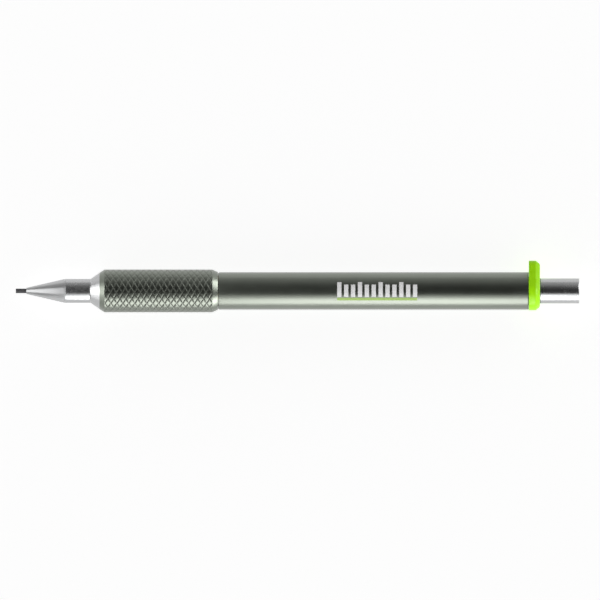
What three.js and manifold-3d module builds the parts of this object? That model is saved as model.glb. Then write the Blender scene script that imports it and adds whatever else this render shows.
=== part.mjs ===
// Push-button lead holder: a clutch pencil for 1.3 mm leads, with a knurled grip and a collar with a thumb tab.
//
// Millimetres, +Z up. The pencil lies on the plane z = 0 with its axis along X: the lead points to -X, the push
// button to +X and the thumb tab to +Y. The origin is on that plane, under the middle of the pencil's box.
//
// Every piece is drawn in the pencil's own coordinates: s runs along the axis from the point of the lead to the
// end of the button, and r is the distance from the axis.

import * as THREE from "three";
import { mergeVertices } from "three/addons/utils/BufferGeometryUtils.js";
import Module from "manifold-3d";

// ---- Driving dimensions ---------------------------------------------------------------------------------------

const LENGTH = 160.6; // point of the lead to the end of the button
const LEAD_LENGTH = 90;
const TRAVEL = 3.2; // how far the button goes in
const GAP = 0.05; // clearance between pieces that touch or slide

// Radii
const LEAD_R = 0.65;
const TIP_R = 0.9; // front of the cone
const NOSE_R = 3.45; // cone's rear end and the nose's straight part
const FLARE_R = 5.2; // where the nose meets the grip
const GRIP_R = 6.15;
const BARREL_R = 5.35;
const COLLAR_R = 5.55;
const TAB_REACH = 8.64; // axis to the top of the thumb tab
const BUTTON_R = 3.6;
const TUBE_BORE_R = 4.45; // inside of the barrel, and of both ends of the grip
const LEAD_TUBE_R = 2.8;

// Stations along the axis
const TIP_FRONT = 3.0;
const CONE_END = 14.0;
const FLARE_START = 21.3;
const GRIP_FRONT = 23.8;
const KNURL_START = 25.3;
const KNURL_END = 56.0;
const GRIP_REAR = 57.6;
const COLLAR_FRONT = 146.2;
const COLLAR_BAND = 2.0; // straight part of the collar's edge
const COLLAR_REAR = 149.4;
const BUTTON_FRONT = 143.0;
const BUTTON_CAP = 1.2; // thickness of the button's end

// Lead retainer and its seat in the cone
const SEAT_FRONT = 6.9;
const SEAT_REAR = 9.9;
const SEAT_R = 1.45;

// Clutch
const JAWS = 3;
const JAW_FRONT = 17.4;
const JAW_ROOT = 27.0; // where the jaws flex
const JAW_HEAD_R = 2.0;
const NECK_R = 1.3;
const NECK_BORE_R = 0.85;
const STEM_REAR = 38.0;
const SLOT_HALF = 0.12; // half the width of the saw cut between two jaws
const RING_FRONT = 18.7;
const SLEEVE_FRONT = 20.75;
const SLEEVE_BORE_R = 2.4;
const SLEEVE_R = 2.9;
const SLEEVE_LIP = 1.45; // thickness of the lip that the spring pushes against
const FLANGE_R = 3.6; // the sleeve's flange
const FLANGE_THICKNESS = 1.25;
const SHANK_REAR = 31.0; // rear end of the nose's threaded shank
const CONNECTOR_FRONT = 33.2;
const SLEEVE_REAR = CONNECTOR_FRONT + 2.5;
const CONNECTOR_FLANGE = SLEEVE_REAR + TRAVEL + 0.1; // it stops the plunger at the end of its travel
const CONNECTOR_FLANGE_THICKNESS = 1.4;
const SPRING_WIRE_R = 0.22;
const SPRING_COIL_R = 1.95;
const SPRING_COILS = 8;

// Collar and its spigot on the rear bush
const SPIGOT_R = 4.1;
const SPIGOT_LENGTH = 2.25;
const BUTTON_HOLE_R = BUTTON_R + 0.1;

// Facets
const SIDES = 32;
const COLLAR_ARC_SIDES = 18;
const WIRE_SIDES = 6;
const STEPS_PER_COIL = 12;

const wasm = await Module();
wasm.setup();

// ---- Materials ------------------------------------------------------------------------------------------------

const material = (colour, roughness, metalness) =>
  new THREE.MeshStandardMaterial({ color: colour, roughness, metalness });

const graphite = material(0x2b2b2d, 0.55, 0.1);
const steel = material(0xc8cacb, 0.25, 1);
const gunmetal = material(0x4a4d48, 0.35, 1);
const greenPlastic = material(0x8fd015, 0.3, 0);
const brass = material(0xc9a552, 0.3, 1);
const springSteel = material(0xa8aaad, 0.3, 1);
const blackPlastic = material(0x1c1d1e, 0.5, 0);
const naturalPlastic = material(0xd9d8d0, 0.45, 0);
const rubber = material(0x202020, 0.8, 0);

// ---- Shapes ---------------------------------------------------------------------------------------------------

// A solid turned about the pencil's axis. The profile's [s, r] points run to the rear along the outside and to
// the front along the inside, and start and end on the axis or on each other.
function turned(profile) {
  const points = profile.map(([s, r]) => new THREE.Vector2(r, s));
  const geometry = new THREE.LatheGeometry(points, SIDES, Math.PI / SIDES);
  return geometry.rotateZ(-Math.PI / 2);
}

// A turned piece with a hole through it: its outside from front to rear, then its inside from rear to front.
const hollow = (outside, inside) => turned([...outside, ...inside, outside[0]]);

// A plain tube from one station to another.
const tube = (front, rear, outer, inner) =>
  hollow([[front, outer], [rear, outer]], [[rear, inner], [front, inner]]);

// A plain round bar from one station to another.
const bar = (front, rear, radius) => turned([[front, 0], [front, radius], [rear, radius], [rear, 0]]);

// Stands a shape drawn in the pencil's YZ plane on end along the axis.
const alongAxis = (geometry) =>
  geometry.applyMatrix4(
    new THREE.Matrix4().makeBasis(
      new THREE.Vector3(0, 1, 0),
      new THREE.Vector3(0, 0, 1),
      new THREE.Vector3(1, 0, 0),
    ),
  );

// A closed geometry as a solid that can be cut and joined.
function solidOf(geometry) {
  const bare = geometry.index ? geometry.toNonIndexed() : geometry.clone();
  bare.deleteAttribute("normal");
  bare.deleteAttribute("uv");
  const merged = mergeVertices(bare, 1e-3);
  return new wasm.Manifold(
    new wasm.Mesh({
      numProp: 3,
      vertProperties: merged.attributes.position.array,
      triVerts: new Uint32Array(merged.index.array),
    }),
  );
}

function geometryOf(solid) {
  const mesh = solid.getMesh();
  return new THREE.BufferGeometry()
    .setAttribute("position", new THREE.BufferAttribute(mesh.vertProperties, 3))
    .setIndex(new THREE.BufferAttribute(mesh.triVerts, 1));
}

function piece(name, geometry, finish) {
  const mesh = new THREE.Mesh(geometry, finish);
  mesh.name = name;
  return mesh;
}

// ---- Nose: cone, lead retainer and nose body -------------------------------------------------------------------

// The cone's bore widens to the rear in steps: lead hole, retainer seat, room for the jaws.
function tipCone() {
  const shankR = 2.9;
  const shankRear = CONE_END + 3.6;
  const chamberR = 2.3;
  const chamberFront = SEAT_REAR + 1.1;
  const holeR = LEAD_R + 0.07;
  const outside = [
    [TIP_FRONT, TIP_R],
    [CONE_END, NOSE_R],
    [CONE_END, shankR],
    [shankRear, shankR],
  ];
  const inside = [
    [shankRear, chamberR],
    [chamberFront, chamberR],
    [SEAT_REAR, SEAT_R],
    [SEAT_FRONT, SEAT_R],
    [SEAT_FRONT, holeR],
    [TIP_FRONT, holeR],
  ];
  return piece("tip_cone", hollow(outside, inside), steel);
}

// A rubber bush that holds the lead while the clutch is open.
const leadRetainer = () =>
  piece("lead_retainer", tube(SEAT_FRONT + GAP, SEAT_REAR - 0.5, SEAT_R - GAP, LEAD_R + GAP), rubber);

// Straight part, flare and the threaded shank that screws into the grip.
function noseBody() {
  const front = CONE_END + GAP;
  const shankR = TUBE_BORE_R - GAP;
  const boreR = SLEEVE_R + GAP;
  const outside = [
    [front, NOSE_R],
    [FLARE_START, NOSE_R],
    [GRIP_FRONT, FLARE_R],
    [GRIP_FRONT, shankR],
    [SHANK_REAR, shankR],
  ];
  return piece("nose_body", hollow(outside, [[SHANK_REAR, boreR], [front, boreR]]), steel);
}

// ---- Clutch -----------------------------------------------------------------------------------------------------

// The three jaws are one brass collet, sawn into three from the front. Each jaw's head has a short straight band
// and then a cone that the clutch ring squeezes shut on the lead.
function jawCollet() {
  const bandFront = JAW_FRONT + 0.3;
  const bandRear = bandFront + 0.7;
  const coneRear = bandRear + 2;
  const biteR = LEAD_R + 0.03;
  const biteRear = coneRear + 0.4;
  const rear = JAW_ROOT - 0.1;
  const outside = [
    [JAW_FRONT, JAW_HEAD_R - 0.2],
    [bandFront, JAW_HEAD_R],
    [bandRear, JAW_HEAD_R],
    [coneRear, JAW_HEAD_R - 0.4],
    [coneRear + 0.2, NECK_R],
    [rear, NECK_R],
  ];
  const inside = [
    [rear, NECK_BORE_R],
    [biteRear + 0.7, NECK_BORE_R],
    [biteRear, biteR],
    [JAW_FRONT, biteR],
  ];
  return solidOf(hollow(outside, inside));
}

// The wedge of space that one jaw takes: a third of a turn, less half a saw cut on each side.
function jawWedge(angle) {
  const reach = 4 * JAW_HEAD_R;
  const sideAngle = Math.PI / JAWS;
  const apex = SLOT_HALF / Math.sin(sideAngle);
  const corner = (turn) =>
    new THREE.Vector2(
      apex * Math.cos(angle) + reach * Math.cos(angle + turn),
      apex * Math.sin(angle) + reach * Math.sin(angle + turn),
    );
  const shape = new THREE.Shape([
    new THREE.Vector2(apex * Math.cos(angle), apex * Math.sin(angle)),
    corner(-sideAngle),
    corner(sideAngle),
  ]);
  const spare = 1; // past each end of the jaw
  const depth = JAW_ROOT - JAW_FRONT + 2 * spare;
  const wedge = alongAxis(new THREE.ExtrudeGeometry(shape, { depth, bevelEnabled: false }));
  return solidOf(wedge.translate(JAW_FRONT - spare, 0, 0));
}

function jaws() {
  const collet = jawCollet();
  return Array.from({ length: JAWS }, (_, i) => {
    const angle = Math.PI / 2 + (i * 2 * Math.PI) / JAWS;
    return piece(`clutch_jaw_${i + 1}`, geometryOf(collet.intersect(jawWedge(angle))), brass);
  });
}

// The rear of the collet, pressed into the connector.
const colletStem = () => piece("collet_stem", tube(JAW_ROOT, STEM_REAR, NECK_R, NECK_BORE_R), brass);

// The ring's cone follows the jaws' heads.
function clutchRing() {
  const rear = SLEEVE_FRONT - GAP;
  const slope = 0.2;
  const outerR = SLEEVE_R - 0.2;
  const frontBoreR = JAW_HEAD_R - 0.01;
  const inside = [
    [rear, frontBoreR - slope * (rear - RING_FRONT)],
    [RING_FRONT, frontBoreR],
  ];
  return piece("clutch_ring", hollow([[RING_FRONT, outerR], [rear, outerR]], inside), brass);
}

// The fixed sleeve that guides the plunger. Its lip stops the ring and seats the spring, and its flange is caught
// between the nose's shank and a shoulder in the grip.
function clutchSleeve() {
  const flangeFront = SHANK_REAR + GAP;
  const flangeRear = flangeFront + FLANGE_THICKNESS;
  const lipBoreR = NECK_R + 0.25;
  const lipRear = SLEEVE_FRONT + SLEEVE_LIP;
  const outside = [
    [SLEEVE_FRONT, SLEEVE_R],
    [flangeFront, SLEEVE_R],
    [flangeFront, FLANGE_R],
    [flangeRear, FLANGE_R],
    [flangeRear, SLEEVE_R],
    [SLEEVE_REAR, SLEEVE_R],
  ];
  const inside = [
    [SLEEVE_REAR, SLEEVE_BORE_R],
    [lipRear, SLEEVE_BORE_R],
    [lipRear, lipBoreR],
    [SLEEVE_FRONT, lipBoreR],
  ];
  return piece("clutch_sleeve", hollow(outside, inside), brass);
}

// A helix along the pencil's axis.
class Helix extends THREE.Curve {
  constructor(front, rear, radius, coils) {
    super();
    Object.assign(this, { front, rear, radius, coils });
  }

  getPoint(t, target = new THREE.Vector3()) {
    const turn = 2 * Math.PI * this.coils * t;
    const s = this.front + (this.rear - this.front) * t;
    return target.set(s, this.radius * Math.cos(turn), this.radius * Math.sin(turn));
  }
}

function returnSpring() {
  const clear = SPRING_WIRE_R + 2 * GAP;
  const front = SLEEVE_FRONT + SLEEVE_LIP + clear;
  const helix = new Helix(front, CONNECTOR_FRONT - clear, SPRING_COIL_R, SPRING_COILS);
  const corners = Array.from({ length: WIRE_SIDES }, (_, i) => {
    const angle = (i * 2 * Math.PI) / WIRE_SIDES;
    return new THREE.Vector2(SPRING_WIRE_R * Math.cos(angle), SPRING_WIRE_R * Math.sin(angle));
  });
  const wire = new THREE.ExtrudeGeometry(new THREE.Shape(corners), {
    extrudePath: helix,
    steps: SPRING_COILS * STEPS_PER_COIL,
    bevelEnabled: false,
  });
  return piece("return_spring", wire, springSteel);
}

// Joins the collet to the lead tube. Its rear end is a funnel that leads a fresh lead into the collet.
function colletConnector() {
  const barrelR = SLEEVE_BORE_R - 0.1;
  const flangeRear = CONNECTOR_FLANGE + CONNECTOR_FLANGE_THICKNESS;
  const spigotR = LEAD_TUBE_R - 0.55;
  const spigotRear = flangeRear + 4.6;
  const funnelR = 1.7;
  const funnelFront = spigotRear - 1.6;
  const socketR = NECK_R + GAP;
  const socketRear = STEM_REAR + 0.1;
  const outside = [
    [CONNECTOR_FRONT, barrelR],
    [CONNECTOR_FLANGE, barrelR],
    [CONNECTOR_FLANGE, LEAD_TUBE_R],
    [flangeRear, LEAD_TUBE_R],
    [flangeRear, spigotR],
    [spigotRear, spigotR],
  ];
  const inside = [
    [spigotRear, funnelR],
    [funnelFront, NECK_BORE_R],
    [socketRear, NECK_BORE_R],
    [socketRear, socketR],
    [CONNECTOR_FRONT, socketR],
  ];
  return piece("collet_connector", hollow(outside, inside), brass);
}

// ---- Body: grip, barrel, bushes and collar ----------------------------------------------------------------------

// Where the grip's wide rear bore starts, and the bore through the grip's middle and the bush behind it.
const REAR_BORE_FRONT = 41.0;
const MIDDLE_BORE_R = 3.0;

function grip() {
  const front = GRIP_FRONT + GAP;
  const chamferRear = KNURL_END + 1.0;
  const outside = [
    [front, FLARE_R],
    [KNURL_START, GRIP_R],
    [KNURL_END, GRIP_R],
    [chamferRear, GRIP_R - 0.53],
    [GRIP_REAR, BARREL_R + GAP],
  ];
  const pocketR = FLANGE_R + GAP;
  const pocketFront = SHANK_REAR + 0.1;
  const pocketRear = pocketFront + FLANGE_THICKNESS;
  const inside = [
    [GRIP_REAR, TUBE_BORE_R],
    [REAR_BORE_FRONT, TUBE_BORE_R],
    [REAR_BORE_FRONT, MIDDLE_BORE_R],
    [pocketRear, MIDDLE_BORE_R],
    [pocketRear, pocketR],
    [pocketFront, pocketR],
    [pocketFront, TUBE_BORE_R],
    [front, TUBE_BORE_R],
  ];
  return piece("grip", hollow(outside, inside), gunmetal);
}

// Threaded into the grip in front and pressed into the barrel behind.
function jointBush() {
  const front = REAR_BORE_FRONT + 2.0;
  const rear = GRIP_REAR + 11.4;
  return piece("joint_bush", tube(front, rear, TUBE_BORE_R - GAP, MIDDLE_BORE_R), brass);
}

const barrel = () =>
  piece("barrel", tube(GRIP_REAR + GAP, COLLAR_FRONT - GAP, BARREL_R, TUBE_BORE_R), gunmetal);

// Pressed into the barrel, guides the button and carries the collar on its spigot.
function rearBush() {
  const front = BUTTON_FRONT - TRAVEL - 1.8;
  const shankR = TUBE_BORE_R - GAP;
  const shoulder = COLLAR_FRONT - GAP;
  const spigotRear = COLLAR_FRONT + SPIGOT_LENGTH;
  const outside = [
    [front, shankR],
    [shoulder, shankR],
    [shoulder, SPIGOT_R],
    [spigotRear, SPIGOT_R],
  ];
  const inside = [[spigotRear, BUTTON_HOLE_R], [front, BUTTON_HOLE_R]];
  return piece("rear_bush", hollow(outside, inside), blackPlastic);
}

// The collar's outline: a circle with two flats that close in on a blunt thumb tab at +Y.
function collarOutline() {
  const flatTilt = THREE.MathUtils.degToRad(18); // each flat's slope towards the tab's middle
  const cornerR = 1.6;
  const cornerY = TAB_REACH - cornerR;
  const cornerZ = (COLLAR_R - cornerR - cornerY * Math.sin(flatTilt)) / Math.cos(flatTilt);
  const tangent = Math.PI / 2 - flatTilt;
  const outline = new THREE.Shape();
  outline.absarc(0, 0, COLLAR_R, tangent, 2 * Math.PI - tangent, false);
  outline.absarc(cornerY, -cornerZ, cornerR, -tangent, 0, false);
  outline.absarc(cornerY, cornerZ, cornerR, 0, tangent, false);
  return outline;
}

// The rear edge is rounded. The front edge is square, so the same rounding there is cut off with what is past it.
function collar() {
  const edge = COLLAR_REAR - COLLAR_FRONT - COLLAR_BAND;
  const extruded = new THREE.ExtrudeGeometry(collarOutline(), {
    depth: 2 * COLLAR_BAND,
    bevelThickness: edge,
    bevelSize: edge,
    bevelOffset: -edge,
    bevelSegments: 3,
    curveSegments: COLLAR_ARC_SIDES,
  });
  const whole = solidOf(alongAxis(extruded).translate(COLLAR_FRONT - COLLAR_BAND, 0, 0));
  const across = 4 * TAB_REACH;
  const depth = 2 * COLLAR_BAND + edge;
  const front = new THREE.BoxGeometry(depth, across, across).translate(COLLAR_FRONT - depth / 2, 0, 0);
  const spigotBore = bar(COLLAR_FRONT - 1, COLLAR_FRONT + SPIGOT_LENGTH + GAP, SPIGOT_R + GAP);
  const buttonBore = bar(COLLAR_FRONT, COLLAR_REAR + 1, BUTTON_HOLE_R + GAP);
  const cuts = [front, spigotBore, buttonBore].map(solidOf);
  const made = cuts.reduce((rest, cut) => rest.subtract(cut), whole);
  return piece("collar", geometryOf(made), greenPlastic);
}

// ---- Plunger and button -----------------------------------------------------------------------------------------

const lead = () => piece("lead", bar(0, LEAD_LENGTH, LEAD_R), graphite);

// The magazine behind the collet, which also carries the button's push to it.
function leadTube() {
  const front = CONNECTOR_FLANGE + CONNECTOR_FLANGE_THICKNESS + GAP;
  const rear = LENGTH - BUTTON_CAP - 2.4;
  return piece("lead_tube", tube(front, rear, LEAD_TUBE_R, LEAD_TUBE_R - 0.5), naturalPlastic);
}

function pushButton() {
  const capFront = LENGTH - BUTTON_CAP;
  const boreR = BUTTON_R - 0.45;
  const chamfer = 0.3;
  const profile = [
    [capFront, 0],
    [capFront, boreR],
    [BUTTON_FRONT, boreR],
    [BUTTON_FRONT, BUTTON_R],
    [LENGTH - chamfer, BUTTON_R],
    [LENGTH, BUTTON_R - chamfer],
    [LENGTH, 0],
  ];
  return piece("push_button", turned(profile), steel);
}

// A plastic sleeve inside the button that holds it on the lead tube.
function buttonLiner() {
  const front = BUTTON_FRONT + 0.3;
  const rear = LENGTH - BUTTON_CAP - 0.1;
  const outerR = BUTTON_R - 0.45 - GAP;
  return piece("button_liner", tube(front, rear, outerR, LEAD_TUBE_R + GAP), blackPlastic);
}

// ---- Assembly ---------------------------------------------------------------------------------------------------

function group(...pieces) {
  const made = new THREE.Group();
  made.add(...pieces);
  return made;
}

// The grip lies on one of its flats, so its lowest and frontmost points are a flat's distance from the axis.
const gripFlat = GRIP_R * Math.cos(Math.PI / SIDES);

const pencil = group(
  group(tipCone(), leadRetainer(), noseBody()),
  group(...jaws(), colletStem(), clutchRing(), clutchSleeve(), returnSpring(), colletConnector()),
  group(grip(), jointBush(), barrel(), rearBush(), collar()),
  group(lead(), leadTube(), pushButton(), buttonLiner()),
);
pencil.position.set(-LENGTH / 2, (gripFlat - TAB_REACH) / 2, gripFlat);

const leadHolder = new THREE.Group();
leadHolder.add(pencil);

export default leadHolder;
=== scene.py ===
"""A push-button lead holder on a pale studio floor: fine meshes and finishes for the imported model.

Lengths are in millimetres in the pencil's own coordinates until a mesh is made: s runs along the
axis from the point of the lead, r is the distance from the axis, and an angle turns about the axis
from straight up towards -Y.
"""

import math

import bmesh
import bpy
import numpy as np
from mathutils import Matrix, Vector


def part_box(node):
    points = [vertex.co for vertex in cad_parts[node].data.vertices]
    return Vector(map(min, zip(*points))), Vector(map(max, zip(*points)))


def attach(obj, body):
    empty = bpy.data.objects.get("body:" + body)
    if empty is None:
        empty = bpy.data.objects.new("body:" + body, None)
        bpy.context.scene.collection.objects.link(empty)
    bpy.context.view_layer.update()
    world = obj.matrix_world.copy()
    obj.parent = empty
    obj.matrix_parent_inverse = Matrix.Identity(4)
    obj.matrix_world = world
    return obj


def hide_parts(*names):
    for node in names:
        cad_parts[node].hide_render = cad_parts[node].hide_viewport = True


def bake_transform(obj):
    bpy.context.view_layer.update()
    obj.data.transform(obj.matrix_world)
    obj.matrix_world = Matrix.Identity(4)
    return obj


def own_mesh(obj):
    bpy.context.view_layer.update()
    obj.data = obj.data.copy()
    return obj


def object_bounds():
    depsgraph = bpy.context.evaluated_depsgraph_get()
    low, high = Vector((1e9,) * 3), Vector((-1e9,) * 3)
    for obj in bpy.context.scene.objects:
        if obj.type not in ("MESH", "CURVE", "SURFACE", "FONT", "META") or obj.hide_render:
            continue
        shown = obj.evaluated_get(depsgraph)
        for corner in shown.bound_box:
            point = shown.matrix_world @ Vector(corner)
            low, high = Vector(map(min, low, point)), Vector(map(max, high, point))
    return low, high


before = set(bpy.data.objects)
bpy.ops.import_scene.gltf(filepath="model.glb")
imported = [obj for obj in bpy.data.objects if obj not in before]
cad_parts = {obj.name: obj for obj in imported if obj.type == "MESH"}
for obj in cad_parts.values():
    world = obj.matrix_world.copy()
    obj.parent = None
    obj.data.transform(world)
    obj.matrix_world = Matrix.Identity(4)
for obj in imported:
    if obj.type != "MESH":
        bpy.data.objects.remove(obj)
cad_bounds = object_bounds()

MM = 0.001
TURN = 2 * math.pi

# The axis runs through the middle of the barrel, and s is counted from the point of the lead.
POINT_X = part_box("lead")[0].x
AXIS_Y, AXIS_Z = (sum(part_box("barrel"), Vector()) / 2).yz

# ---- Places and sizes ------------------------------------------------------------------


def front(node):
    return (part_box(node)[0].x - POINT_X) / MM


def rear(node):
    return (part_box(node)[1].x - POINT_X) / MM


def radius(node):
    low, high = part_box(node)
    return (high.z - low.z) / 2 / MM


CAD_SIDES = 32
CORNER = 1 / math.cos(math.pi / CAD_SIDES)  # a CAD corner's distance from the axis over a flat's
NOSE_R = radius("tip_cone") * CORNER
FLARE_R = radius("nose_body") * CORNER
GRIP_R = radius("grip")
BARREL_R = radius("barrel") * CORNER
COLLAR_R = radius("collar")
BUTTON_R = radius("push_button") * CORNER
LEAD_R = radius("lead") * CORNER
TAB_REACH = (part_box("collar")[1].y - AXIS_Y) / MM

CONE_END = front("nose_body") - 0.05
FLARE_START = front("grip") - 2.55
TUBE_BORE_R = 4.45  # inside of the barrel and of both ends of the grip
SHANK_R = TUBE_BORE_R - 0.06  # outside of whatever fits into those bores
MIDDLE_BORE_R = 3.0  # inside of the grip's middle and of the bush behind it
PASSAGE_R = 0.85  # the lead's way through the collet, behind the part of the jaws that grips it
THREAD_PITCH = 0.75
THREAD_DEPTH = 0.3
CHAMFER_FRONT = 1.45  # length of the grip's front chamfer
CHAMFER_REAR = 1.6  # length of its rear chamfer, which is on the ring
KNURL_START = front("grip") + CHAMFER_FRONT
KNURL_END = rear("grip") - CHAMFER_REAR
RING_BORE_R = 4.9  # inside of the ring that ends the grip, and the grip's outside in it
KNURL_TURNS = 12  # diamonds round the grip
KNURL_ROWS = 18  # diamonds along it
KNURL_CELLS = 16  # mesh cells to a diamond, each way
CHAMFER_ROWS = 13  # rows of such cells on the front chamfer
KNURL_PHASE = math.radians(5.4)  # bearing of a row of diamonds
KNURL_DEPTH = 0.07
SPRING_TURNS = 8
SEAM_WIDTH = 0.2  # relief groove where two turned pieces meet
SEAM_DEPTH = 0.2
GROOVE_WIDTH = 0.28  # relief groove round the barrel's front

# ---- Meshes ----------------------------------------------------------------------------


def placed(s, r, angle):
    """Points of the pencil's own coordinates in the row frame, in metres."""
    s, r, angle = np.broadcast_arrays(s, r, angle)
    return np.stack(
        [
            POINT_X + s * MM,
            AXIS_Y - r * np.sin(angle) * MM,
            AXIS_Z + r * np.cos(angle) * MM,
        ],
        axis=-1,
    )


def solid(name, points, faces, sharp_degrees=28):
    """A closed mesh object, smooth except where it bends by more than sharp_degrees."""
    mesh = bpy.data.meshes.new(name)
    mesh.from_pydata(points.reshape(-1, 3).tolist(), [], faces)
    shape = bmesh.new()
    shape.from_mesh(mesh)
    bmesh.ops.remove_doubles(shape, verts=shape.verts, dist=1e-7)
    bmesh.ops.recalc_face_normals(shape, faces=shape.faces)
    shape.to_mesh(mesh)
    shape.free()
    mesh.shade_smooth()
    mesh.set_sharp_from_angle(angle=math.radians(sharp_degrees))
    made = bpy.data.objects.new(name, mesh)
    bpy.context.scene.collection.objects.link(made)
    return made


def grid_faces(rows, columns, wrap_columns=True):
    """Quads of a grid whose rows close on themselves, as its columns may."""
    last = columns if wrap_columns else columns - 1
    faces = []
    for i in range(rows):
        for j in range(last):
            here, beside = i * columns, (i + 1) % rows * columns
            right = (j + 1) % columns
            faces.append((here + j, beside + j, beside + right, here + right))
    return faces


def eased(corners, steps=5):
    """Rounds corners (s, r, ease) from ease before them to ease after, and leaves (s, r) sharp."""
    ring = np.array([corner[:2] for corner in corners], float)
    points = []
    for i, corner in enumerate(corners):
        if len(corner) < 3:
            points.append(ring[i])
            continue
        before, after = ring[i - 1] - ring[i], ring[(i + 1) % len(ring)] - ring[i]
        start = ring[i] + before / np.linalg.norm(before) * corner[2]
        end = ring[i] + after / np.linalg.norm(after) * corner[2]
        for t in np.linspace(0, 1, steps):
            points.append((1 - t) ** 2 * start + 2 * t * (1 - t) * ring[i] + t**2 * end)
    return np.array(points)


def turned(name, corners, sides=128):
    """A solid of revolution. Its corners close on themselves or start and end on the axis."""
    ring = eased(corners)
    angle = np.arange(sides) * TURN / sides
    points = placed(ring[:, :1], ring[:, 1:], angle[None, :])
    return solid(name, points, grid_faces(len(ring), sides))


def threaded(name, corners, thread_from, thread_to, thread_r, pitch, depth, sides=96):
    """A solid of revolution with a thread cut into it wherever its radius is thread_r."""
    ring = eased(corners)
    stations = np.arange(thread_from, thread_to, pitch / 10)
    rows = []
    for point, following in zip(ring, np.roll(ring, -1, axis=0)):
        rows.append(point)
        on_thread = abs(point[1] - thread_r) < 1e-6 and abs(following[1] - thread_r) < 1e-6
        if on_thread:
            rows += [np.array([s, thread_r]) for s in stations]
    rows = np.array(rows)
    angle = np.arange(sides) * TURN / sides
    s, r = rows[:, :1], np.repeat(rows[:, 1:], sides, axis=1)
    wave = 0.5 - 0.5 * np.cos(TURN * (s / pitch - angle[None, :] / TURN))
    fade = np.clip(np.minimum(s - thread_from, thread_to - s) / pitch, 0, 1)
    cut = depth * fade * np.clip(1.6 * wave - 0.3, 0, 1)
    r = np.where(np.abs(r - thread_r) < 1e-6, r - cut, r)
    return solid(name, placed(s, r, angle[None, :]), grid_faces(len(rows), sides), 40)


def sector(name, corners, middle, half_angle, columns):
    """Part of a turn of a closed profile, capped at both ends. half_angle may depend on r."""
    ring = eased(corners)
    half = np.array([half_angle(r) for r in ring[:, 1]])[:, None]
    across = np.linspace(-1, 1, columns)[None, :]
    points = placed(ring[:, :1], ring[:, 1:], middle + half * across)
    faces = grid_faces(len(ring), columns, wrap_columns=False)
    faces.append([i * columns for i in range(len(ring))])
    faces.append([i * columns + columns - 1 for i in reversed(range(len(ring)))])
    return solid(name, points, faces)


# ---- Finishes --------------------------------------------------------------------------


# Dark colour mixed in at seams: grime, and painted shade where a contact shadow would fall
SEAM_GRIME_AND_SHADE = (0.012, 0.012, 0.012)


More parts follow.
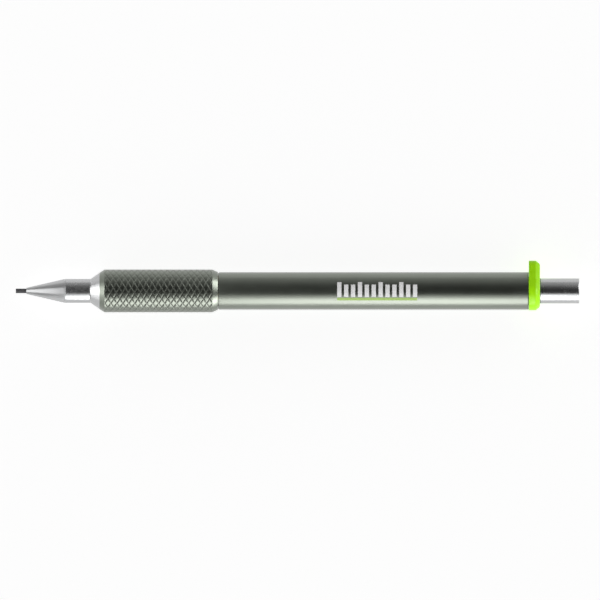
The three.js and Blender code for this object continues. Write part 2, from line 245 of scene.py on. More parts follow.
class Finish:
    """A Principled material whose patterns are drawn in millimetres along and across the pencil."""

    def __init__(self, name, colour, roughness, **sockets):
        self.material = bpy.data.materials.new(name)
        self.material.use_nodes = True
        self.tree = self.material.node_tree
        self.shader = self.tree.nodes["Principled BSDF"]
        self.set("Base Color", (*colour, 1))
        self.set("Roughness", roughness)
        for socket, value in sockets.items():
            self.set(socket.replace("_", " "), value)
        self.place = self.in_millimetres()

    def set(self, socket, value):
        if isinstance(value, bpy.types.NodeSocket):
            self.tree.links.new(value, self.shader.inputs[socket])
        else:
            self.shader.inputs[socket].default_value = value

    def add(self, kind, inputs=(), **settings):
        node = self.tree.nodes.new("ShaderNode" + kind)
        for setting, value in settings.items():
            setattr(node, setting, value)
        for socket, value in dict(inputs).items():
            if isinstance(value, bpy.types.NodeSocket):
                self.tree.links.new(value, node.inputs[socket])
            else:
                node.inputs[socket].default_value = value
        return node

    def in_millimetres(self):
        """Position with its origin on the axis at the point of the lead."""
        coordinates = self.add("TexCoord").outputs["Object"]
        origin = (POINT_X, AXIS_Y, AXIS_Z)
        moved = self.add("VectorMath", {0: coordinates, 1: origin}, operation="SUBTRACT")
        scaled = self.add("VectorMath", {0: moved.outputs[0], "Scale": 1 / MM}, operation="SCALE")
        return scaled.outputs[0]

    def noise(self, along, around, detail=3.0, roughness=0.55, seed=0.0):
        """Noise from 0 to 1, with so many features to a millimetre along and around."""
        stretched = self.add(
            "VectorMath", {0: self.place, 1: (along, around, around)}, operation="MULTIPLY"
        )
        texture = self.add(
            "TexNoise",
            {
                "Vector": stretched.outputs[0],
                "W": seed,
                "Scale": 1.0,
                "Detail": detail,
                "Roughness": roughness,
            },
            noise_dimensions="4D",
        )
        return texture.outputs["Fac"]

    def math(self, operation, first, second=0.0):
        return self.add("Math", {0: first, 1: second}, operation=operation).outputs[0]

    def ranged(self, value, low, high, to_low=0.0, to_high=1.0):
        inputs = {"Value": value, 1: low, 2: high, 3: to_low, 4: to_high}
        return self.add("MapRange", inputs, interpolation_type="SMOOTHSTEP").outputs[0]

    def mixed(self, share, first, second):
        def colour(value):
            return value if isinstance(value, bpy.types.NodeSocket) else (*value, 1)

        inputs = {0: share, 6: colour(first), 7: colour(second)}
        return self.add("Mix", inputs, data_type="RGBA").outputs[2]

    def along(self):
        return self.add("SeparateXYZ", {0: self.place}).outputs[0]

    def off_axis(self):
        """Distance from the axis, in millimetres."""
        across = self.add("VectorMath", {0: self.place, 1: (0, 1, 1)}, operation="MULTIPLY")
        return self.add("VectorMath", {0: across.outputs[0]}, operation="LENGTH").outputs["Value"]

    def scratches(self, along, around, seed):
        """Sparse hairlines, 1 on a line and 0 beside it."""
        wander = self.noise(along, around, detail=2.0, seed=seed)
        off_line = self.math("ABSOLUTE", self.math("SUBTRACT", wander, 0.5))
        line = self.ranged(off_line, 0.0, 0.006, 1, 0)
        patch = self.ranged(self.noise(0.5, 0.5, detail=1.0, seed=seed + 7), 0.52, 0.62)
        return self.math("MULTIPLY", line, patch)

    def near(self, stations, width):
        """1 at each of these stations along the pencil, falling to 0 at width from it."""
        along = self.along()
        found = None
        for station in stations:
            distance = self.math("ABSOLUTE", self.math("SUBTRACT", along, station))
            here = self.ranged(distance, 0.0, width, 1, 0)
            found = here if found is None else self.math("MAXIMUM", found, here)
        return found

    def bump(self, height, depth):
        """Raises the surface where height is 1 by depth millimetres."""
        previous = self.shader.inputs["Normal"]
        inputs = {"Height": height, "Strength": 1.0, "Distance": depth * MM}
        if previous.is_linked:
            inputs["Normal"] = previous.links[0].from_socket
        self.set("Normal", self.add("Bump", inputs).outputs[0])


def turned_metal(name, bright, dull, roughness, line_depth, worn=None, edges=(), seams=()):
    """Metal off a lathe: lines round the axis, handling marks, rubbed edges, and seams darkened with
    grime and painted shade.
    """
    finish = Finish(name, bright, roughness, Metallic=1.0)
    lines = finish.noise(14.0, 0.1, detail=4.0, roughness=0.6)
    cloud = finish.noise(0.16, 0.3, detail=4.0, seed=3)
    hairs = finish.scratches(0.7, 1.5, seed=5)
    colour = finish.mixed(finish.ranged(cloud, 0.3, 0.7), dull, bright)
    smudged = finish.ranged(cloud, 0.3, 0.75, roughness * 0.96, roughness * 1.07)
    rough = finish.math("ADD", smudged, finish.math("MULTIPLY", hairs, 0.08))
    if edges:
        ragged = finish.ranged(finish.noise(3.0, 3.0, detail=4.0, seed=11), 0.42, 0.62)
        rubbed = finish.math("MULTIPLY", finish.near(edges, 0.35), ragged)
        colour = finish.mixed(rubbed, colour, worn)
    # Painted shade and grime: each seam is darkened, as a contact shadow would darken it, and made
    # rougher
    if seams:
        grime_and_shade = finish.near(seams, 0.3)
        colour = finish.mixed(finish.math("MULTIPLY", grime_and_shade, 0.9), colour, SEAM_GRIME_AND_SHADE)
        rough = finish.math("ADD", rough, finish.math("MULTIPLY", grime_and_shade, 0.3))
    finish.set("Base Color", colour)
    finish.set("Roughness", rough)
    finish.bump(lines, line_depth)
    finish.bump(hairs, -0.004)
    return finish


def steel(name, roughness):
    return turned_metal(
        name,
        bright=(0.49, 0.494, 0.498),
        dull=(0.46, 0.464, 0.468),
        roughness=roughness,
        line_depth=0.002,
        worn=(0.6, 0.6, 0.6),
        edges=(front("tip_cone"), FLARE_START, rear("push_button")),
        # The joint with the collar gets painted shade and grime
        seams=(rear("collar"),),
    )


def gunmetal(name, bright, dull, seams=()):
    finish = turned_metal(name, bright, dull, roughness=0.33, line_depth=0.003, seams=seams)
    finish.set("Coat Weight", 0.5)
    finish.set("Coat Roughness", 0.3)
    return finish


def barrel_gunmetal():
    """Gunmetal under a thick anodised layer, which is faintly milky."""
    bright, dull = (0.206, 0.226, 0.192), (0.192, 0.21, 0.178)
    # Both joints, with the grip and with the collar, get painted shade and grime
    finish = gunmetal("gunmetal", bright, dull, seams=(rear("grip"), rear("barrel")))
    finish.set("Metallic", 0.93)
    return finish


def knurled_gunmetal():
    """Gunmetal with grime and painted shade darkening the knurl's grooves."""
    bright, dull, grime_and_shade = (0.192, 0.211, 0.178), (0.179, 0.196, 0.165), (0.13, 0.138, 0.118)
    finish = gunmetal("knurled_gunmetal", bright, dull)
    colour = finish.shader.inputs["Base Color"].links[0].from_socket
    rough = finish.shader.inputs["Roughness"].links[0].from_socket
    depth = finish.math("SUBTRACT", GRIP_R, finish.off_axis())
    in_knurl = finish.ranged(finish.along(), KNURL_START - 0.2, KNURL_START)
    past_knurl = finish.ranged(finish.along(), KNURL_END, KNURL_END + 0.2)
    knurl = finish.math("MULTIPLY", in_knurl, finish.math("SUBTRACT", 1.0, past_knurl))
    # Painted shade and grime in the knurl's grooves, darker the deeper they are
    deep = finish.math("MULTIPLY", finish.ranged(depth, KNURL_DEPTH * 0.5, KNURL_DEPTH), knurl)
    patchy = finish.ranged(finish.noise(0.35, 0.5, detail=3.0, seed=21), 0.3, 0.7, 0.35, 0.9)
    groove_grime_and_shade = finish.math("MULTIPLY", deep, patchy)
    finish.set("Base Color", finish.mixed(groove_grime_and_shade, colour, grime_and_shade))
    finish.set("Roughness", finish.math("ADD", rough, finish.math("MULTIPLY", groove_grime_and_shade, 0.12)))
    return finish


def brass():
    bright, dull = (0.76, 0.56, 0.24), (0.6, 0.42, 0.17)
    return turned_metal("turned_brass", bright, dull, roughness=0.26, line_depth=0.003)


def spring_steel():
    finish = Finish("spring_wire", (0.56, 0.56, 0.57), 0.26, Metallic=1.0)
    drawn = finish.noise(1.0, 9.0, detail=3.0)
    finish.set("Base Color", finish.mixed(drawn, (0.42, 0.42, 0.44), (0.62, 0.62, 0.63)))
    finish.set("Roughness", finish.ranged(drawn, 0.3, 0.7, 0.22, 0.34))
    finish.bump(drawn, 0.002)
    return finish


def graphite():
    """Extruded lead: streaks along it, a soft sheen and fine grain."""
    finish = Finish("graphite", (0.07, 0.07, 0.074), 0.55, Specular_IOR_Level=0.2)
    streaks = finish.noise(0.8, 12.0, detail=4.0)
    grain = finish.noise(18.0, 18.0, detail=2.0, seed=4)
    finish.set("Base Color", finish.mixed(streaks, (0.03, 0.03, 0.032), (0.075, 0.075, 0.08)))
    finish.set("Roughness", finish.ranged(streaks, 0.3, 0.7, 0.48, 0.62))
    finish.bump(streaks, 0.006)
    finish.bump(grain, 0.004)
    return finish


def moulded(name, colour, shade, roughness, **sockets):
    """A moulded plastic: a very slight unevenness of colour, a fine satin texture and scuffs."""
    finish = Finish(name, colour, roughness, **sockets)
    cloud = finish.noise(0.4, 0.4, detail=3.0, seed=2)
    texture = finish.noise(9.0, 9.0, detail=2.0, seed=6)
    scuffs = finish.scratches(1.2, 1.2, seed=9)
    finish.set("Base Color", finish.mixed(finish.ranged(cloud, 0.3, 0.7), shade, colour))
    uneven = finish.ranged(cloud, 0.3, 0.7, roughness * 0.88, roughness * 1.15)
    finish.set("Roughness", finish.math("ADD", uneven, finish.math("MULTIPLY", scuffs, 0.2)))
    finish.bump(texture, 0.004)
    finish.bump(scuffs, -0.004)
    return finish


def lime_plastic():
    colour, shade = (0.4, 0.88, 0.004), (0.38, 0.85, 0.004)
    return moulded("lime_plastic", colour, shade, 0.3, Specular_IOR_Level=0.3)


def black_plastic():
    return moulded("black_plastic", (0.022, 0.022, 0.024), (0.016, 0.016, 0.017), 0.42)


def natural_plastic():
    return moulded(
        "natural_plastic",
        colour=(0.45, 0.44, 0.4),
        shade=(0.39, 0.38, 0.34),
        roughness=0.38,
        Subsurface_Weight=0.35,
        Subsurface_Radius=(1.0, 0.9, 0.7),
        Subsurface_Scale=0.5 * MM,
    )


def rubber():
    finish = moulded("rubber", (0.02, 0.02, 0.021), (0.03, 0.03, 0.03), 0.7, Sheen_Weight=0.2)
    finish.bump(finish.noise(5.0, 5.0, detail=4.0, seed=8), 0.01)
    return finish


def ink(name, colour):
    """Pad-printed ink: slightly uneven, with pinholes."""
    finish = Finish(name, colour, 0.45, Specular_IOR_Level=0.4)
    speckle = finish.noise(7.0, 7.0, detail=4.0, seed=13)
    thin = finish.ranged(speckle, 0.3, 0.42, 1, 0)
    worn = tuple(0.72 * part for part in colour)
    finish.set("Base Color", finish.mixed(thin, colour, worn))
    finish.set("Roughness", finish.ranged(speckle, 0.3, 0.7, 0.38, 0.55))
    finish.bump(speckle, 0.006)
    return finish


FINISHES = {
    "steel": (steel("turned_steel", 0.26), "satin_steel"),
    "satin": (steel("satin_steel", 0.32), "satin_steel"),
    "gunmetal": (barrel_gunmetal(), "gunmetal"),
    "knurled": (knurled_gunmetal(), "gunmetal"),
    "brass": (brass(), "brass"),
    "spring": (spring_steel(), "spring_steel"),
    "graphite": (graphite(), "graphite"),
    "lime": (lime_plastic(), "green_plastic"),
    "black": (black_plastic(), "black_plastic"),
    "natural": (natural_plastic(), "natural_plastic"),
    "rubber": (rubber(), "rubber"),
    "pale_ink": (ink("pale_ink", (0.6, 0.6, 0.6)), "gunmetal"),
    "green_ink": (ink("green_ink", (0.25, 0.37, 0.09)), "gunmetal"),
}


def finished(piece, finish, *nodes):
    """Gives a piece its finish, and lets it stand for CAD nodes."""
    made, slot = FINISHES[finish]
    piece.data.materials.append(made.material)
    if nodes:
        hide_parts(*nodes)
    return piece


def fitted(piece, finish, body, *nodes):
    """A finished piece that moves with a body."""
    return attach(finished(piece, finish, *nodes), body)


# ---- Nose ------------------------------------------------------------------------------


def make_lead():
    r, end = LEAD_R, rear("lead")
    corners = [(0, 0), (0, r, 0.06), (end, r, 0.04), (end, 0)]
    fitted(turned("lead_stick", corners, sides=64), "graphite", "lead", "lead")


def make_tip_cone():
    start, end = front("tip_cone"), rear("tip_cone")
    point_r, hole_r, seat_r, chamber_r, shank_r = 0.9, 0.72, 1.45, 2.3, 2.88
    seat_front, seat_rear, chamber_front = 6.9, 9.9, 11.0
    corners = [
        (start, point_r, 0.12),
        (CONE_END, NOSE_R, 0.05),
        (CONE_END, shank_r),
        (end, shank_r, 0.2),
        (end, chamber_r, 0.1),
        (chamber_front, chamber_r, 0.1),
        (seat_rear, seat_r, 0.1),
        (seat_front, seat_r),
        (seat_front, hole_r, 0.05),
        (start, hole_r, 0.05),
    ]
    pitch, depth = 0.6, 0.22
    thread = CONE_END + 0.6, end - 0.4, shank_r, pitch, depth
    cone = threaded("tip_cone_turned", corners, *thread)
    fitted(cone, "satin", "nose", "tip_cone")


def make_lead_retainer():
    start, end, bore_r = front("lead_retainer"), rear("lead_retainer"), LEAD_R + 0.05
    outer_r, mouth_r, mouth = radius("lead_retainer"), bore_r + 0.25, 0.8
    corners = [
        (start, mouth_r, 0.08),
        (start, outer_r, 0.15),
        (end, outer_r, 0.15),
        (end, mouth_r, 0.08),
        (end - mouth, bore_r, 0.2),
        (start + mouth, bore_r, 0.2),
    ]
    fitted(turned("retainer_bush", corners, sides=64), "rubber", "nose", "lead_retainer")


def make_nose_body():
    start, rim, end = front("nose_body"), front("grip"), rear("nose_body")
    bore_r, relief_r = 2.95, SHANK_R - 0.3
    corners = [
        (start, NOSE_R - SEAM_DEPTH / 2),
        (start + SEAM_WIDTH / 2, NOSE_R, 0.04),
        (FLARE_START, NOSE_R, 0.3),
        (rim, FLARE_R),
        (rim, relief_r),
        (rim + 0.5, relief_r, 0.1),
        (rim + 0.8, SHANK_R),
        (end, SHANK_R, 0.3),
        (end, bore_r, 0.15),
        (start, bore_r, 0.05),
    ]
    thread = rim + 0.9, end - 0.4, SHANK_R, THREAD_PITCH, THREAD_DEPTH
    body = threaded("nose_body_turned", corners, *thread, sides=128)
    fitted(body, "steel", "nose", "nose_body")


# ---- Clutch ----------------------------------------------------------------------------


def make_jaws():
    """Three jaws, whose roots grow out of the collet's stem; in the real clutch they bend there."""
    slot_half, root = 0.12, rear("clutch_jaw_1")
    start = front("clutch_jaw_1")
    head_r, neck_r, grip_r = 1.97, 1.29, LEAD_R + 0.03
    corners = [
        (start, head_r - 0.2, 0.08),
        (start + 0.3, head_r, 0.12),
        (start + 1.0, head_r, 0.15),
        (start + 3.0, head_r - 0.4, 0.08),
        (start + 3.2, neck_r, 0.08),
        (root, neck_r),
        (root, PASSAGE_R),
        (start + 4.1, PASSAGE_R, 0.1),
        (start + 3.4, grip_r, 0.1),
        (start + 0.15, grip_r, 0.05),
        (start, grip_r + 0.15, 0.05),
    ]
    for number in (1, 2, 3):
        low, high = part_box(f"clutch_jaw_{number}")
        middle = (low + high) / 2
        angle = math.atan2(AXIS_Y - middle.y, middle.z - AXIS_Z)
        jaw = sector(
            f"jaw_{number}_sawn",
            corners,
            angle,
            lambda r: math.pi / 3 - math.asin(slot_half / r),
            columns=25,
        )
        finished(jaw, "brass", f"clutch_jaw_{number}")
        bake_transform(jaw)


def make_collet_stem():
    start, end, r = front("collet_stem"), rear("collet_stem"), radius("collet_stem")
    corners = [(start, r), (end, r, 0.15), (end, PASSAGE_R, 0.1), (start, PASSAGE_R)]
    fitted(turned("collet_stem_turned", corners, sides=64), "brass", "plunger", "collet_stem")


def make_clutch_ring():
    start, end, r = front("clutch_ring"), rear("clutch_ring"), radius("clutch_ring")
    mouth_r, throat_r = 1.99, 1.6
    corners = [(start, r, 0.2), (end, r, 0.2), (end, throat_r, 0.08), (start, mouth_r, 0.1)]
    fitted(turned("clutch_ring_turned", corners, sides=96), "brass", "ring", "clutch_ring")


def make_clutch_sleeve():
    start, end = front("clutch_sleeve"), rear("clutch_sleeve")
    outer_r, flange_r, bore_r, lip_bore_r, lip = 2.87, radius("clutch_sleeve"), 2.4, 1.55, 1.45
    flange_front, flange_rear = rear("nose_body") + 0.05, rear("nose_body") + 1.3
    corners = [
        (start, outer_r, 0.2),
        (flange_front, outer_r, 0.08),
        (flange_front, flange_r, 0.12),
        (flange_rear, flange_r, 0.12),
        (flange_rear, outer_r, 0.08),
        (end, outer_r, 0.15),
        (end, bore_r, 0.15),
        (start + lip, bore_r, 0.1),
        (start + lip, lip_bore_r, 0.1),
        (start, lip_bore_r, 0.1),
    ]
    fitted(turned("clutch_sleeve_turned", corners, sides=96), "brass", "holder", "clutch_sleeve")


def make_return_spring():
    """A round-wire spring with closed end coils; the real one shortens as the button goes in, and
    this mesh keeps one length.
    """
    wire_r, coil_r = 0.22, 1.95
    seat, end = front("return_spring") - 0.1, rear("return_spring") + 0.1
    steps, around = 40 * SPRING_TURNS, 12
    t = np.linspace(0, 1, steps)
    open_share = np.clip((np.minimum(t, 1 - t) * SPRING_TURNS - 0.75) / 0.75, 0, 1)
    closed_pitch = 2.1 * wire_r
    spread = np.cumsum(open_share)
    length = end - seat - 2 * wire_r
    s = seat + wire_r + closed_pitch * SPRING_TURNS * t
    s += (length - closed_pitch * SPRING_TURNS) * spread / spread[-1]
    turn = TURN * SPRING_TURNS * t
    centre = placed(s, coil_r, turn)
    outward = (placed(s, coil_r + 1, turn) - centre) / MM
    tangent = np.gradient(centre, axis=0)
    tangent /= np.linalg.norm(tangent, axis=1, keepdims=True)
    sideways = np.cross(tangent, outward)
    angle = np.arange(around) * TURN / around
    circle = (
        outward[:, None] * np.cos(angle)[None, :, None]
        + sideways[:, None] * np.sin(angle)[None, :, None]
    )
    points = centre[:, None] + wire_r * MM * circle
    faces = grid_faces(steps, around)[: (steps - 1) * around]
    faces.append(list(range(around)))
    faces.append([(steps - 1) * around + i for i in reversed(range(around))])
    spring = fitted(solid("spring_wire_coil", points, faces), "spring", "holder", "return_spring")
    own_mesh(spring)


def make_collet_connector():
    start, end = front("collet_connector"), rear("collet_connector")
    flange_r, boss_r, tail_r = radius("collet_connector"), 2.28, 2.24
    flange_rear = end - 4.6
    flange_front = flange_rear - 1.4
    stem_r, stem_rear = 1.36, rear("collet_stem") + 0.1
    funnel_r, funnel = 1.7, 1.6
    corners = [
        (start, boss_r, 0.15),
        (flange_front, boss_r, 0.05),
        (flange_front, flange_r, 0.12),
        (flange_rear, flange_r, 0.12),
        (flange_rear, tail_r, 0.05),
        (end, tail_r, 0.2),
        (end, funnel_r, 0.1),
        (end - funnel, PASSAGE_R, 0.3),
        (stem_rear, PASSAGE_R, 0.05),
        (stem_rear, stem_r),
        (start, stem_r, 0.1),
    ]
    connector = turned("collet_connector_turned", corners, sides=96)
    fitted(connector, "brass", "plunger", "collet_connector")


# ---- Grip, barrel and collar -----------------------------------------------------------


def knurl_depth(row, column):
    """Depth below the crests at a mesh row and column: two families of grooves, which cross."""
    groove_half, crown = 0.17, 0.03
    lean_one = (row + column) / KNURL_CELLS
    lean_two = (row - column) / KNURL_CELLS
    to_one = np.abs(lean_one - np.round(lean_one))
    to_two = np.abs(lean_two - np.round(lean_two))
    nearest = np.minimum(to_one, to_two)
    groove = KNURL_DEPTH * np.clip(1 - nearest / groove_half, 0, 1)
    return groove + crown * (1 - np.clip(nearest / 0.5, 0, 1)) ** 2


def knurl_faces(rows, columns, first_row):
    """Triangles whose edges run along the grooves."""
    faces = []
    for i in range(rows - 1):
        for j in range(columns):
            right = (j + 1) % columns
            a, b = i * columns + j, (i + 1) * columns + j
            c, d = (i + 1) * columns + right, i * columns + right
            lean_one = (first_row + i + j + 1) % KNURL_CELLS
            lean_two = (first_row + i - j) % KNURL_CELLS
            to_one = min(lean_one, KNURL_CELLS - lean_one)
            to_two = min(lean_two, KNURL_CELLS - lean_two)
            faces += [(a, b, d), (b, c, d)] if to_one < to_two else [(a, b, c), (a, c, d)]
    return faces


def make_grip():
    """One grid: the front chamfer, the knurl, the end ring's seat and the bores, back to front."""
    start, end = front("grip"), rear("grip")
    columns = KNURL_TURNS * KNURL_CELLS
    cell = (KNURL_END - KNURL_START) / (KNURL_ROWS * KNURL_CELLS)
    row = np.arange(-CHAMFER_ROWS, KNURL_ROWS * KNURL_CELLS + 1)
    s = KNURL_START + row * cell
    turned_r = np.interp(s, [start, KNURL_START, KNURL_END], [FLARE_R, GRIP_R, GRIP_R])
    on_knurl = row[:, None] >= 0
    depth = np.where(on_knurl, knurl_depth(row[:, None], np.arange(columns)[None, :]), 0)
    knurl_r = np.minimum(turned_r[:, None], GRIP_R - depth)
    angle = KNURL_PHASE + np.arange(columns)[None, :] * TURN / columns
    knurl = placed(s[:, None], knurl_r, angle)

    bore_r, rear_bore_front = TUBE_BORE_R, 41.0
    pocket_r, pocket_front = 3.65, rear("nose_body") + 0.1
    pocket_rear = rear("clutch_sleeve") - 3.35
    plain = eased(
        [
            (KNURL_END, RING_BORE_R),
            (end, RING_BORE_R),
            (end, bore_r, 0.1),
            (rear_bore_front, bore_r),
            (rear_bore_front, MIDDLE_BORE_R, 0.1),
            (pocket_rear, MIDDLE_BORE_R, 0.1),
            (pocket_rear, pocket_r),
            (pocket_front, pocket_r),
            (pocket_front, bore_r),
            *internal_thread(rear("nose_body"), start + 0.6, bore_r),
            (start, bore_r, 0.15),
            (start, FLARE_R),
        ]
    )
    rest = placed(plain[:, :1], plain[:, 1:], angle)
    points = np.concatenate([knurl, rest])
    faces = knurl_faces(len(knurl), columns, -CHAMFER_ROWS)
    closing = grid_faces(len(points), columns)
    faces += closing[(len(knurl) - 1) * columns :]
    fitted(solid("grip_knurled", points, faces), "knurled", "holder", "grip")


def make_grip_ring():
    """The chamfered ring that ends the grip behind the knurl."""
    gap = 0.01
    start, end, bore_r = KNURL_END + gap, rear("grip"), RING_BORE_R + gap
    corners = [
        (start, GRIP_R, 0.03),
        (end - 0.05, BARREL_R + 0.07),
        (end, BARREL_R),
        (end, bore_r),
        (start, bore_r),
    ]
    fitted(turned("grip_end_ring", corners, sides=192), "knurled", "holder")


def internal_thread(thread_from, thread_to, bore_r):
    """Ring grooves that stand for the inside thread, from rear to front."""
    pitch, depth = THREAD_PITCH, 0.28
    for s in np.arange(thread_from - 0.2, thread_to + pitch, -pitch):
        yield s, bore_r
        yield s - pitch * 0.3, bore_r + depth
        yield s - pitch * 0.5, bore_r + depth
        yield s - pitch * 0.8, bore_r


def make_joint_bush():
    start, end = front("joint_bush"), rear("joint_bush")
    corners = [
        (start, SHANK_R, 0.3),
        (end, SHANK_R, 0.2),
        (end, MIDDLE_BORE_R, 0.1),
        (start, MIDDLE_BORE_R, 0.1),
    ]
    thread = start + 0.4, rear("grip") - 0.6, SHANK_R, THREAD_PITCH, THREAD_DEPTH
    bush = threaded("joint_bush_turned", corners, *thread)
    fitted(bush, "brass", "holder", "joint_bush")


def make_barrel():
    start, end = front("barrel"), rear("barrel")
    corners = [
        (start, BARREL_R - SEAM_DEPTH),
        (start + GROOVE_WIDTH, BARREL_R - SEAM_DEPTH),
        (start + GROOVE_WIDTH, BARREL_R, 0.05),
        (end, BARREL_R, 0.08),
        (end, TUBE_BORE_R, 0.08),
        (start, TUBE_BORE_R, 0.08),
    ]
    fitted(turned("barrel_tube", corners, sides=192), "gunmetal", "holder", "barrel")


def make_rear_bush():
    start, end = front("rear_bush"), rear("rear_bush")
    shoulder, spigot_r, bore_r = rear("barrel"), 4.1, 3.7
    corners = [
        (start, SHANK_R, 0.2),
        (shoulder, SHANK_R),
        (shoulder, spigot_r),
        (end, spigot_r, 0.15),
        (end, bore_r, 0.1),
        (start, bore_r, 0.2),
    ]
    fitted(turned("rear_bush_moulded", corners, sides=96), "black", "holder", "rear_bush")


def collar_outline():
    """Points and outward directions round the collar, which is a circle with a blunt tab at +Y.

    Each is (towards +Y, up). The tab's two flats lean in by flat_tilt, and its corners are round.
    """
    flat_tilt, corner_r = math.radians(18), 1.6
    corner_out = TAB_REACH - corner_r
    corner_up = (COLLAR_R - corner_r - corner_out * math.sin(flat_tilt)) / math.cos(flat_tilt)
    tangent = math.pi / 2 - flat_tilt
    arcs = [
        (0, 0, COLLAR_R, np.linspace(tangent, TURN - tangent, 73)),
        (corner_out, -corner_up, corner_r, np.linspace(-tangent, 0, 10)),
        (corner_out, corner_up, corner_r, np.linspace(0, tangent, 10)),
    ]
    points, directions = [], []
    for out, up, r, angles in arcs:
        for angle in angles:
            direction = np.array([math.cos(angle), math.sin(angle)])
            points.append(np.array([out, up]) + r * direction)
            directions.append(direction)
    return subdivided(np.array(points), np.array(directions))


def subdivided(points, directions, longest=0.5):
    """The same outline with its long straight stretches cut into steps no longer than longest."""
    out_points, out_directions = [], []
    for i in range(len(points)):
        j = (i + 1) % len(points)
        pieces = max(1, math.ceil(np.linalg.norm(points[j] - points[i]) / longest))
        for k in range(pieces):
            share = k / pieces
            out_points.append(points[i] * (1 - share) + points[j] * share)
            out_directions.append(directions[i] * (1 - share) + directions[j] * share)
    return np.array(out_points), np.array(out_directions)


def make_collar():
    start, end = front("collar"), rear("collar")
    band, front_edge = 2.0, 0.12
    bore_r, spigot_r, spigot_end = 3.75, 4.15, start + 2.3
    edge = end - start - band
    points, directions = collar_outline()
    bearing = np.arctan2(points[:, 1], points[:, 0])
    loops = []

    def outline(s, inset):
        inner = points - directions * inset
        loops.append(np.column_stack([np.full(len(inner), s), inner]))

    def circle(s, r):
        round_s = np.full(len(bearing), s)
        loops.append(np.column_stack([round_s, r * np.cos(bearing), r * np.sin(bearing)]))

    for t in np.linspace(0, math.pi / 2, 4):
        outline(start + front_edge * (1 - math.cos(t)), front_edge * (1 - math.sin(t)))
    rim = [
        (end - 2 * edge, 0),
        (end - edge, 0, 0.2),
        (end - 0.2 * edge, 0.62 * edge, 0.2),
        (end, edge, 0.1),
        (end, edge + 0.25),
    ]
    for s, inset in eased(rim):
        outline(s, inset)
    bore = [
        (end, bore_r, 0.12),
        (spigot_end, bore_r),
        (spigot_end, spigot_r),
        (start, spigot_r, 0.1),
    ]
    for s, r in eased(bore):
        circle(s, r)
    placed_loops = np.array((POINT_X, AXIS_Y, AXIS_Z)) + np.array(loops) * MM
    faces = grid_faces(len(loops), len(points))
    collar = solid("collar_moulded", placed_loops, faces, sharp_degrees=32)
    fitted(collar, "lime", "holder", "collar")


def make_print():
    """A plain scale of long and short bars with a thin line below it, printed on the barrel."""
    first, last, bars, filled = 91.6, 114.4, 12, 0.62
    long_top, short_top, foot = -2.5, -1.8, 1.75
    line_top, line_foot = 1.95, 2.7
    pitch = (last - first) / (bars - 1 + filled)
    for i in range(bars):
        s = first + i * pitch
        top = long_top if i % 3 == 0 else short_top
        patch(f"scale_bar_{i + 1}", s, s + pitch * filled, top, foot, "pale_ink")
    patch("scale_line", first, last, line_top, line_foot, "green_ink")


def patch(name, start, end, top, bottom, finish):
    """A thin printed patch on the barrel, from top to bottom off the axis, towards -Y."""
    thick = 0.02
    above, below = math.asin(top / BARREL_R), math.asin(bottom / BARREL_R)
    inner, outer = BARREL_R - thick, BARREL_R + thick
    corners = [(start, inner), (start, outer), (end, outer), (end, inner)]
    half = (below - above) / 2
    made = sector(name, corners, (above + below) / 2, lambda r: half, columns=25)
    fitted(made, finish, "holder")


# ---- Plunger and button ----------------------------------------------------------------


def make_lead_tube():
    start, end, r, bore_r = front("lead_tube"), rear("lead_tube"), radius("lead_tube"), 2.3
    corners = [(start, r, 0.08), (end, r, 0.15), (end, bore_r, 0.1), (start, bore_r, 0.05)]
    fitted(turned("lead_tube_drawn", corners, sides=96), "natural", "plunger", "lead_tube")


def make_push_button():
    start, end, bore_r, wall = front("push_button"), rear("push_button"), 3.15, 1.2
    corners = [
        (end - wall, 0),
        (end - wall, bore_r, 0.1),
        (start, bore_r, 0.1),
        (start, BUTTON_R, 0.12),
        (end, BUTTON_R, 0.2),
        (end, 0),
    ]
    fitted(turned("push_button_turned", corners, sides=128), "steel", "cap", "push_button")


def make_button_liner():
    start, end, r = front("button_liner"), rear("button_liner"), radius("button_liner")
    bore_r = radius("lead_tube") + 0.06
    corners = [(start, r, 0.08), (end, r, 0.08), (end, bore_r, 0.05), (start, bore_r, 0.08)]
    fitted(turned("button_liner_moulded", corners, sides=96), "black", "cap", "button_liner")


for make in (
    make_lead,
    make_tip_cone,
    make_lead_retainer,
    make_nose_body,
    make_jaws,
    make_collet_stem,
    make_clutch_ring,
    make_clutch_sleeve,
    make_return_spring,
    make_collet_connector,
    make_grip,
    make_grip_ring,
    make_joint_bush,
    make_barrel,
    make_rear_bush,
    make_collar,
    make_print,
    make_lead_tube,
    make_push_button,
    make_button_liner,
):
    make()

# ---- Studio ----------------------------------------------------------------------------


def make_floor():
    """A plain pale floor that glows a little, as paper on a light table does."""
    mesh = bpy.data.meshes.new("floor")
    half, height, glow = 3.0, cad_bounds[0].z, 0.84
    square = ((-half, -half), (half, -half), (half, half), (-half, half))
    mesh.from_pydata([(x, y, height) for x, y in square], [], [(0, 1, 2, 3)])
    floor = bpy.data.objects.new("floor", mesh)
    bpy.context.scene.collection.objects.link(floor)
    paper = Finish("floor_paper", (0.7, 0.7, 0.7), 0.9, Specular_IOR_Level=0.1)
    grain = paper.noise(0.8, 0.8, detail=4.0, seed=1)
    paper.set("Base Color", paper.mixed(grain, (0.69, 0.69, 0.69), (0.71, 0.71, 0.71)))
    paper.set("Emission Color", (1, 1, 1, 1))
    paper.set("Emission Strength", glow)
    mesh.materials.append(paper.material)
    return floor


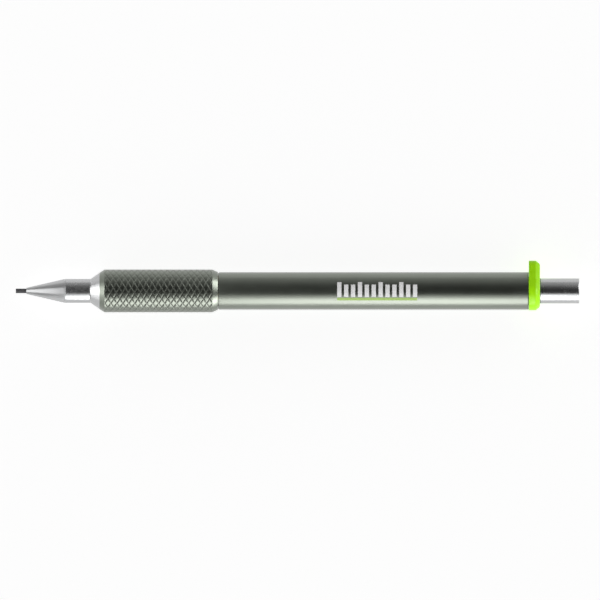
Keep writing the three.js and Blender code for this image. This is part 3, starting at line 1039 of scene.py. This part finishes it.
def softbox(name, target, azimuth, elevation, distance, width, height, radiance, receivers):
    """A soft rectangular light that faces target from a distance, in metres and degrees.

    Azimuth turns from +X towards +Y.
    """
    a, e = math.radians(azimuth), math.radians(elevation)
    towards = Vector((math.cos(a) * math.cos(e), math.sin(a) * math.cos(e), math.sin(e)))
    light = bpy.data.lights.new(name, "AREA")
    light.shape = "RECTANGLE"
    light.size, light.size_y = width, height
    light.energy = radiance * math.pi * width * height
    made = bpy.data.objects.new(name, light)
    made.location = target + towards * distance
    made.rotation_euler = towards.to_track_quat("Z", "Y").to_euler()
    made.visible_camera = False
    made.light_linking.receiver_collection = receivers
    bpy.context.scene.collection.objects.link(made)


def linked(state, *things):
    """A collection that a light may be linked to: it lights all but these things, or only them."""
    collection = bpy.data.collections.new(f"light_{state.lower()}")
    for thing in things:
        collection.objects.link(thing)
    for entry in collection.collection_objects:
        entry.light_linking.link_state = state
    return collection


def make_lights(floor):
    """Big boxes on the -Y side, some over the point, some behind the button.

    None lights the floor. The grip, its ring, the barrel and the collar are each left out by some
    boxes, and all but the barrel have boxes of their own.
    """
    names = "grip_knurled", "grip_end_ring", "barrel_tube", "collar_moulded"
    grip, ring, barrel, collar = (bpy.data.objects[name] for name in names)
    on_barrel_x = 0.046
    key, tip, grip_end, collar_end = (
        Vector((x, AXIS_Y, AXIS_Z))
        for x in (on_barrel_x, POINT_X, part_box("grip")[1].x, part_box("collar")[1].x)
    )
    off_floor = linked("EXCLUDE", floor)
    off_barrel = linked("EXCLUDE", floor, barrel)
    off_collar = linked("EXCLUDE", floor, barrel, collar, ring)
    off_grip = linked("EXCLUDE", floor, collar, grip, ring)
    on_grip = linked("INCLUDE", grip)
    on_ring = linked("INCLUDE", ring)
    on_collar = linked("INCLUDE", collar)
    for box in (
        # name, target, azimuth, elevation, distance, width, height, radiance, receivers
        ("key_box", key, -90, 22, 0.6, 0.35, 0.44, 4.1, off_floor),
        ("key_top_box", key, -90, 52, 0.6, 0.35, 0.21, 1.4, off_floor),
        ("point_low_box", tip, 180, 19, 0.5, 0.32, 0.27, 1.75, off_barrel),
        ("point_wide_box", tip, 184, 16, 0.55, 0.82, 0.35, 1.1, off_barrel),
        ("point_high_box", tip, 180, 54, 0.3, 0.37, 0.22, 1.9, off_grip),
        ("grip_box", tip, 180, 24, 0.5, 0.3, 0.12, 1.35, on_grip),
        ("back_left_box", grip_end, 27, 16, 0.5, 0.34, 0.36, 5.2, off_collar),
        ("back_right_box", grip_end, -44, 12, 0.5, 0.28, 0.3, 6.3, off_collar),
        ("ring_left_box", grip_end, 28, 22, 0.5, 0.43, 0.36, 5.1, on_ring),
        ("ring_right_box", grip_end, -49, 17, 0.5, 0.29, 0.3, 6.2, on_ring),
        ("collar_box", collar_end, 0, 33, 0.4, 0.3, 0.25, 3.8, on_collar),
    ):
        softbox(*box)


def make_world():
    """Studio walls: white up to the horizon, pale over it and dark overhead."""
    world = bpy.data.worlds.new("studio")
    bpy.context.scene.world = world
    world.use_nodes = True
    nodes, links = world.node_tree.nodes, world.node_tree.links
    direction = nodes.new("ShaderNodeTexCoord")
    parts = nodes.new("ShaderNodeSeparateXYZ")
    from_nadir = nodes.new("ShaderNodeMapRange")
    from_nadir.inputs["From Min"].default_value = -1
    ramp = nodes.new("ShaderNodeValToRGB")
    links.new(direction.outputs["Generated"], parts.inputs[0])
    links.new(parts.outputs["Z"], from_nadir.inputs["Value"])
    links.new(from_nadir.outputs["Result"], ramp.inputs[0])
    links.new(ramp.outputs[0], nodes["Background"].inputs["Color"])
    # Heights, from 0 straight below to 1 overhead, and the shade at each
    shades = ((0.501, 1.0), (0.503, 0.56), (0.63, 0.46), (0.765, 0.33), (0.9, 0.09), (1.0, 0.0))
    stops = ramp.color_ramp.elements
    while len(stops) < len(shades):
        stops.new(0.5)
    for stop, (height, shade) in zip(stops, shades):
        stop.position = height
        stop.color = (shade, shade, shade, 1)


def make_camera():
    """Straight above, without perspective, with the thumb tab at the top of the picture."""
    view_width, view_x, view_y, height = 0.171, 0.0007, -0.00385, 0.4
    lens = bpy.data.cameras.new("camera")
    lens.type = "ORTHO"
    lens.ortho_scale = view_width
    camera = bpy.data.objects.new("camera", lens)
    camera.location = (view_x, view_y, height)
    bpy.context.scene.collection.objects.link(camera)
    bpy.context.scene.camera = camera


make_lights(make_floor())
make_world()
make_camera()
bpy.context.scene.view_settings.view_transform = "Standard"
